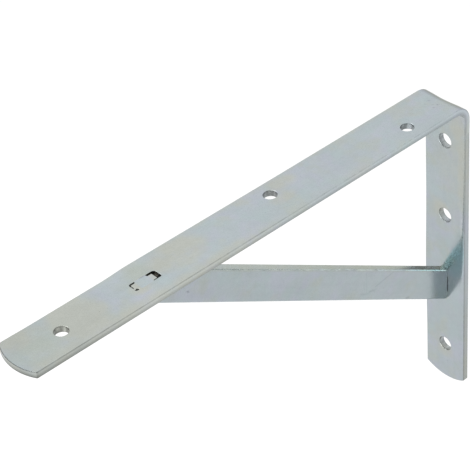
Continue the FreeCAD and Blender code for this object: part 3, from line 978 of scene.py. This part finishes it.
# The peened head of the arm's tenon in plan: (reach, across, rounding). It fills the slot only at its middle
ARM_HEAD = [
    (217.5, -1.8, 0.3),
    (220.2, -1.85, 0.3),
    (220.6, -3.6, 0.3),
    (227.6, -3.6, 0.3),
    (228.0, -2.3, 0.3),
    (230.85, -2.2, 0.3),
    (230.85, 0.6, 0.25),
    (232.1, 0.9, 0.2),
    (232.1, 2.0, 0.3),
    (230.7, 2.1, 0.2),
    (230.2, 1.6, 0.3),
    (229.7, 2.3, 0.2),
    (229.3, 3.7, 0.3),
    (220.2, 3.7, 0.3),
    (219.8, 2.8, 0.3),
    (217.5, 2.7, 0.3),
]
# The same for the leg's tenon, as seen from the wall: (to the right, up from the tenon's middle, rounding)
LEG_HEAD = [
    (-2.2, -5.3, 0.4),
    (2.1, -5.5, 0.4),
    (2.5, -3.2, 0.5),
    (3.7, -1.6, 0.7),
    (3.9, 1.2, 0.7),
    (2.9, 3.5, 0.5),
    (2.2, 5.4, 0.4),
    (-2.1, 5.2, 0.4),
    (-2.6, 3.4, 0.5),
    (-3.8, 1.9, 0.7),
    (-3.6, -1.8, 0.7),
    (-2.6, -3.6, 0.5),
]
HEAD_THICKNESS = 1.2
HEAD_ROUNDING = 0.15
HEAD_STEP = 0.5
# How far a head stands out of the strap: the arm's a little, and the leg's is sunk, clear of the wall
ARM_HEAD_PROUD = 0.02
LEG_HEAD_SUNK = 0.1
# How far the middle line of the arm's head is off the strap's
ARM_HEAD_OFF = 0.45
# Each head's crown: its middle, how far it reaches either way, and how far the surface sinks there. Further
# out it sinks on, up to this many times as far
ARM_CROWN = ((224.0, 0.0), (7.0, 20.0), 0.06)
LEG_CROWN = ((0.0, 0.0), (4.0, 6.0), 0.1)
CROWN_SINKS_TO = 1.6
# The brace and its heads show other stretches of the finish than the strap, shifted along and across by this
BRACE_SHIFT = (600, 40)
ARM_HEAD_SHIFT = (30, 95, 0)
LEG_HEAD_SHIFT = (0, 110, 0)
# A darker patch on the arm's head, by its far side: its middle and its half sizes
DARK_PATCH_PLACE = (222.6, -3.4)
DARK_PATCH_SIZE = (2.8, 1.0)
DARK_PATCH_SHADE = 0.35
# The edge of the arm's head gets painted shade past this reach, where the head is narrow
NARROW_FROM = 228.0
NARROW_SHADE = 0.3
# Its long sides, this far out, meet the slot so closely that they show little of an edge
LONG_SIDES = 3.2
LONG_SIDES_HIDDEN = 0.9
# How far from its middle it grows warm
HEAD_WARMTH_GROWS = (3.0, 5.0)


# A hammered head with a soft edge. Its crown sinks away towards its ends
def make_head(corners, crown):
    outline = soften(corners, HEAD_STEP)
    low = np.min(outline, axis=0)
    high = np.max(outline, axis=0)
    points = grid(low[0], high[0], low[1], high[1], HEAD_STEP, HEAD_STEP)
    plate = make_plate([(outline, HEAD_ROUNDING, 0.0)], HEAD_THICKNESS, points)
    place = plate["place"]
    middle, reach, depth = crown
    away = np.hypot((place[:, 0] - middle[0]) / reach[0], (place[:, 1] - middle[1]) / reach[1])
    sunk = depth * np.clip(away**2, 0, CROWN_SINKS_TO)
    place[:, 2] -= np.where(place[:, 2] > HEAD_THICKNESS / 2, sunk, 0)
    plate["cut"] *= 0
    return plate


def make_arm_head():
    head = make_head(ARM_HEAD, ARM_CROWN)
    flat = head["place"]
    head["flat"] = flat + ARM_HEAD_SHIFT
    head["place"] = flat + (0, ARM_HEAD_OFF, SHELF_PLANE - HEAD_THICKNESS + ARM_HEAD_PROUD)
    head["rim"] *= 1 - LONG_SIDES_HIDDEN * (np.abs(flat[:, 1]) > LONG_SIDES)
    away = (flat[:, :2] - DARK_PATCH_PLACE) / DARK_PATCH_SIZE
    dark_patch = np.clip(1 - np.hypot(away[:, 0], away[:, 1]), 0, 1)
    head["dull"] = DARK_PATCH_SHADE * dark_patch + NARROW_SHADE * head["rim"] * (flat[:, 0] > NARROW_FROM)
    head["violet"] = dark_patch
    head["warm"] = smooth_step(np.abs(flat[:, 0] - ARM_CROWN[0][0]), *HEAD_WARMTH_GROWS)
    return head


def make_leg_head():
    head = make_head(LEG_HEAD, LEG_CROWN)
    across, up, height = head["place"].T
    head["flat"] = head["place"] + LEG_HEAD_SHIFT
    from_wall = HEAD_THICKNESS + LEG_HEAD_SUNK - height
    head["place"] = np.column_stack([from_wall, BRACE_OFF_AT_LEG - across, up + leg_tenon_middle()])
    return head


# How far the brace's upper narrow face is lowered at its near side and raised at its far side, at the leg
# and at the arm. This begins at a share of the brace's half width
NEAR_LOWERED = (0.75, 1.4)
FAR_RAISED = (0.1, 0.35)
UPPER_FACE_FROM = 0.7


# How far up the brace a reach is: 0 at the leg and 1 at the arm
def up_brace(reach):
    return np.clip((reach - STRAP_THICKNESS) / (BRACE_REACH - STRAP_THICKNESS), 0, 1)


# How far the brace's centre line is off the strap's at each reach
def brace_off(reach):
    return BRACE_OFF_AT_LEG + (BRACE_OFF_AT_ARM - BRACE_OFF_AT_LEG) * up_brace(reach)


# Rises from 0 a little under the brace's upper narrow face to 1 at it
def upper_face(flat):
    slope, rise = math.sin(BRACE_ANGLE), math.cos(BRACE_ANGLE)
    height = (flat[:, 1] - leg_tenon_middle()) * rise - (flat[:, 0] - STRAP_THICKNESS) * slope
    return smooth_step(height, UPPER_FACE_FROM * BRACE_WIDTH / 2, BRACE_WIDTH / 2)


# The upper narrow face is not square. This is how far each point moves for it, most at the near side
# At the ends, points slide along the strap's faces, so the brace stays in touch with them
def shear(flat):
    along = up_brace(flat[:, 0])
    slope, rise = math.sin(BRACE_ANGLE), math.cos(BRACE_ANGLE)
    far_share = flat[:, 2] / BRACE_THICKNESS
    near_side = NEAR_LOWERED[0] + (NEAR_LOWERED[1] - NEAR_LOWERED[0]) * along
    far_side = FAR_RAISED[0] + (FAR_RAISED[1] - FAR_RAISED[0]) * along
    lowered = upper_face(flat) * (near_side * (1 - far_share) - far_side * far_share)
    slide = slope / rise * (1 - along) - rise / slope * along
    inwards, downwards = (slide * rise - slope) * lowered, (slide * slope + rise) * lowered
    return np.column_stack([inwards, np.zeros(len(flat)), downwards])


# Scratches and knocks on the near side of the brace: (start, end, half width, how dark), with each end a
# reach and a height
BRACE_MARKS = [
    ((48.7, -67.0), (64.0, -69.1), 0.5, 0.13),
    ((71.5, -55.0), (71.9, -69.4), 0.5, 0.06),
    ((65.7, -71.0), (69.4, -69.9), 0.8, 0.16),
    ((71.0, -70.6), (75.8, -68.2), 0.8, 0.10),
    ((73.6, -60.0), (73.4, -66.0), 0.6, 0.06),
    ((37.6, -93.6), (40.0, -93.0), 0.7, 0.25),
    ((198.9, 9.6), (199.4, 10.0), 0.7, 0.35),
]
MARK_DEPTH = 0.02
# The step between the points along a mark, where rows of them lie beside its middle, and where a mark begins
# to fade and is gone. The last two are in half widths
MARK_STEP = 0.7
MARK_ROWS = (-1.6, -0.8, 0, 0.8, 1.6)
MARK_FADES = (0.2, 1.2)


# Rows of points along and beside each mark, so that the mesh can follow it
def points_along_marks():
    points = []
    for start, end, half_width, _ in BRACE_MARKS:
        run = np.subtract(end, start)
        length = np.hypot(*run)
        aside = np.array((-run[1], run[0])) / length * half_width
        for share in np.linspace(0, 1, round(length / MARK_STEP) + 2):
            points += [np.array(start) + run * share + aside * row for row in MARK_ROWS]
    return np.array(points)


# How strongly each point of the near side is marked
def marked(flat):
    shade = np.zeros(len(flat))
    for start, end, half_width, strength in BRACE_MARKS:
        run = np.subtract(end, start)
        share = np.clip((flat[:, :2] - start) @ run / (run @ run), 0, 1)
        away = np.linalg.norm(flat[:, :2] - start - share[:, None] * run, axis=1)
        fading = smooth_step(away, *(share * half_width for share in MARK_FADES))
        shade = np.maximum(shade, strength * (1 - fading))
    return shade * (flat[:, 2] < 0.1)


BRACE_ROUNDING = 0.85
# Where the brace meets the leg, its edges are nearly square: up to this far from the leg, and by this share
FOOT_REACH = 0.9
FOOT_SQUARED = 0.9
# The brace's upper narrow face gets a painted highlight and a painted reflection tint
# How much brighter the brace's upper narrow face is at each reach, and how that grows towards the far side
UPPER_LIGHT = [(18.0, 0.43), (24.0, 0.05), (31.0, 0.36), (38.0, 0.12), (48.0, 0.08)]
UPPER_LIGHT_NEAR = 0.6
UPPER_LIGHT_GROWTH = 0.8
# How green and how warm that face is, how much warmer its flat part is, and over which reaches this grows
UPPER_GREEN = 0.7
UPPER_WARMTH = 0.15
UPPER_FLAT_WARMTH = 0.10
UPPER_WARMTH_GROWS = (35.0, 60.0)
# The steps between the points on the brace's wide sides
BAR_STEPS = (2.4, 2.4)


# Moves the rounded edges at the brace's foot out to the full thickness
def square_foot(flat):
    sunk = np.minimum(flat[:, 2], BRACE_THICKNESS - flat[:, 2])
    at_foot = (flat[:, 0] < STRAP_THICKNESS + FOOT_REACH) & (flat[:, 0] > STRAP_THICKNESS - 0.1)
    outwards = -np.sign(BRACE_THICKNESS / 2 - flat[:, 2])
    flat[:, 2] += np.where(at_foot & (sunk < BRACE_ROUNDING + 0.01), FOOT_SQUARED * sunk * outwards, 0)


# The bar's own measures. Only its tenons count as cut and hollow, in their slots, which gives them painted
# shade
def tint_brace(bar, flat, marks):
    upper = upper_face(flat)
    # Painted highlight and painted reflection tint on the upper narrow face
    light = upper * bar["cut"] * from_table(UPPER_LIGHT, flat[:, 0])
    bar["dull"] = marks - light * (UPPER_LIGHT_NEAR + UPPER_LIGHT_GROWTH * flat[:, 2] / BRACE_THICKNESS)
    warmth = UPPER_WARMTH + UPPER_FLAT_WARMTH * bar["cut"]
    bar["warm"] = upper * warmth * smooth_step(flat[:, 0], *UPPER_WARMTH_GROWS)
    bar["green"] = UPPER_GREEN * upper
    in_slot = (flat[:, 1] > SHELF_PLANE - STRAP_THICKNESS + 0.1) | (flat[:, 0] < STRAP_THICKNESS - 0.1)
    bar["hollow"] = in_slot * np.where(flat[:, 0] > SLOT_LIT_FROM, SLOT_LIT_SHARE, 1.0)
    bar["cut"] = in_slot * 1.0


def make_bar():
    side = brace_outline()
    low, high = np.min(side, axis=0), np.max(side, axis=0)
    inner = np.concatenate([grid(low[0], high[0], low[1], high[1], *BAR_STEPS), points_along_marks()])
    bar = make_plate([(side, BRACE_ROUNDING, 0.0)], BRACE_THICKNESS, inner)
    flat = bar["place"]
    marks = marked(flat)
    flat[:, 2] += MARK_DEPTH * (marks > 0.05)
    square_foot(flat)
    turn = [[math.cos(BRACE_ANGLE), -math.sin(BRACE_ANGLE)], [math.sin(BRACE_ANGLE), math.cos(BRACE_ANGLE)]]
    bar["flat"] = np.column_stack([flat[:, :2] @ np.array(turn) + BRACE_SHIFT, flat[:, 2]])
    across = BRACE_THICKNESS / 2 - flat[:, 2] + brace_off(flat[:, 0])
    bar["place"] = np.column_stack([flat[:, 0], across, flat[:, 1]]) - shear(flat)
    tint_brace(bar, flat, marks)
    return bar


def make_brace(finish):
    thing = mesh_object("diagonal_brace_steel", joined([make_bar(), make_arm_head(), make_leg_head()]))
    thing.data.materials.append(finish)
    return thing


# The floor's height, well under the foot of the leg, and half its width, both in metres
FLOOR_HEIGHT = -0.46
FLOOR_HALF = 5.0
# How bright the floor is to the camera and to the metal. The metal sees a darker spot under the camera:
# where it is, its radius, and by which share it is darker
FLOOR_SEEN = 0.53
FLOOR_MIRRORED = 0.47
SPOT_PLACE = (0.55, 0.50)
SPOT_RADIUS = 0.45
SPOT_DARKER = 0.5


# A flat sheet, given by its corners in turn
def make_sheet(name, corners):
    mesh = bpy.data.meshes.new(name)
    mesh.from_pydata(corners, [], [(0, 1, 2, 3)])
    sheet = bpy.data.objects.new(name, mesh)
    bpy.context.scene.collection.objects.link(sheet)
    paint = bpy.data.materials.new(name + "_paint")
    paint.use_nodes = True
    paint.node_tree.nodes.clear()
    mesh.materials.append(paint)
    return sheet, paint.node_tree


# A pale floor that shows white to the camera and to the metal, and keeps the bracket's shadow
# In the metal it is a little darker under the camera
def make_floor():
    ways = ((-1, -1), (1, -1), (1, 1), (-1, 1))
    floor, tree = make_sheet("floor", [(x * FLOOR_HALF, y * FLOOR_HALF, FLOOR_HEIGHT) for x, y in ways])
    rays = add_node(tree, "ShaderNodeLightPath")
    seen = Wire(tree, rays.outputs["Is Camera Ray"]).most(Wire(tree, rays.outputs["Is Transmission Ray"]))
    mirrored = Wire(tree, rays.outputs["Is Glossy Ray"])
    place = add_node(tree, "ShaderNodeTexCoord").outputs["Object"]
    under_camera = add_node(
        tree, "ShaderNodeMapping",
        {"Vector": Wire(tree, place), "Location": (*SPOT_PLACE, FLOOR_HEIGHT), "Scale": [SPOT_RADIUS] * 3},
        vector_type="TEXTURE",
    )
    spot = add_node(
        tree, "ShaderNodeTexGradient", {"Vector": Wire(tree, under_camera.outputs[0])},
        gradient_type="QUADRATIC_SPHERE",
    )
    darker = 1.0 - Wire(tree, spot.outputs["Fac"]).math("SQRT") * SPOT_DARKER
    glow = add_node(
        tree, "ShaderNodeEmission",
        {"Color": (1, 1, 1, 1), "Strength": (seen * FLOOR_SEEN).most(mirrored * FLOOR_MIRRORED * darker)},
    )
    matt = add_node(tree, "ShaderNodeBsdfDiffuse", {"Color": (0.5, 0.5, 0.5, 1)})
    parts = {0: Wire(tree, glow.outputs[0]), 1: Wire(tree, matt.outputs[0])}
    both = add_node(tree, "ShaderNodeAddShader", parts)
    end = tree.nodes.new("ShaderNodeOutputMaterial")
    tree.links.new(both.outputs[0], end.inputs["Surface"])


# Cards that stand on the floor beside the bracket, seen only in the metal's reflections, in metres:
# (name, direction across the floor, how far off, width, height of its top, colour)
CARDS = [
    ("card_behind", (-0.788, -0.616), 1.5, 1.3, 0.10, (0.80, 0.80, 0.73)),
    ("card_at_the_right", (0.812, -0.583), 1.4, 1.0, -0.05, (0.30, 0.24, 0.18)),
]


def make_card(name, direction, distance, width, top, colour):
    toward = Vector((*direction, 0)) * distance
    aside = Vector((-direction[1], direction[0], 0)) * width / 2
    corners = [
        tuple(toward + aside * side + Vector((0, 0, height)))
        for side, height in ((-1, FLOOR_HEIGHT), (1, FLOOR_HEIGHT), (1, top), (-1, top))
    ]
    card, tree = make_sheet(name, corners)
    glow = add_node(tree, "ShaderNodeEmission", {"Color": (*colour, 1), "Strength": 1.0})
    end = tree.nodes.new("ShaderNodeOutputMaterial")
    tree.links.new(glow.outputs[0], end.inputs["Surface"])
    card.visible_camera = False
    card.visible_diffuse = False
    card.visible_shadow = False
    card.visible_transmission = False


# Softboxes, in metres: (name, place, what it is aimed at, side length, watts)
LAMPS = [
    ("overhead", (-0.15, -0.84, 1.75), (0.05, 0.0, -0.05), 1.0, 1.6),
    ("right", (0.80, -1.00, 1.55), (0.02, 0.0, -0.10), 0.9, 10.0),
    ("back", (-1.40, -1.80, 1.85), (0.12, 0.0, -0.05), 2.0, 1.45),
    ("front", (1.50, 0.35, 0.10), (0.02, 0.0, -0.10), 1.0, 12.0),
]


# How bright the world is for the object. The camera and the reflections see it white
SKY_STRENGTH = 0.8


def make_light():
    world = bpy.data.worlds.new("studio")
    bpy.context.scene.world = world
    world.use_nodes = True
    tree = world.node_tree
    tree.nodes.clear()
    rays = add_node(tree, "ShaderNodeLightPath")
    seen = Wire(tree, rays.outputs["Is Camera Ray"]).most(Wire(tree, rays.outputs["Is Transmission Ray"]))
    seen = seen.most(Wire(tree, rays.outputs["Is Glossy Ray"]))
    strength = seen.most(SKY_STRENGTH)
    sky = add_node(tree, "ShaderNodeBackground", {"Color": (1, 1, 1, 1), "Strength": strength})
    end = tree.nodes.new("ShaderNodeOutputWorld")
    tree.links.new(sky.outputs[0], end.inputs["Surface"])
    for name, place, target, size, power in LAMPS:
        lamp = bpy.data.lights.new(name, "AREA")
        lamp.size = size
        lamp.energy = power
        thing = bpy.data.objects.new(name, lamp)
        thing.location = place
        aim = Vector(target) - Vector(place)
        thing.rotation_euler = aim.to_track_quat("-Z", "Y").to_euler()
        bpy.context.scene.collection.objects.link(thing)


# The camera, fitted to the photograph: its place in metres, its turn in degrees and its focal length
CAMERA_PLACE = (0.65316, 0.60021, 0.62847)
CAMERA_TURN = (51.9474, 3.9281, 137.6738)
FOCAL_LENGTH = 145.94
SENSOR_WIDTH = 36.0


def make_camera():
    lens = bpy.data.cameras.new("camera")
    lens.lens = FOCAL_LENGTH
    lens.sensor_width = SENSOR_WIDTH
    lens.clip_start = 0.05
    lens.clip_end = 50.0
    camera = bpy.data.objects.new("camera", lens)
    camera.location = CAMERA_PLACE
    camera.rotation_euler = Euler([math.radians(angle) for angle in CAMERA_TURN])
    bpy.context.scene.collection.objects.link(camera)
    bpy.context.scene.camera = camera


make_camera()
make_light()
make_floor()
for card_row in CARDS:
    make_card(*card_row)
zinc = make_zinc()
strap = make_strap(zinc)
brace = make_brace(zinc)
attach(strap, "root")
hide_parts("angle_strap")
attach(brace, "root")
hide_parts("diagonal_brace")
bpy.context.scene.view_settings.view_transform = "Standard"
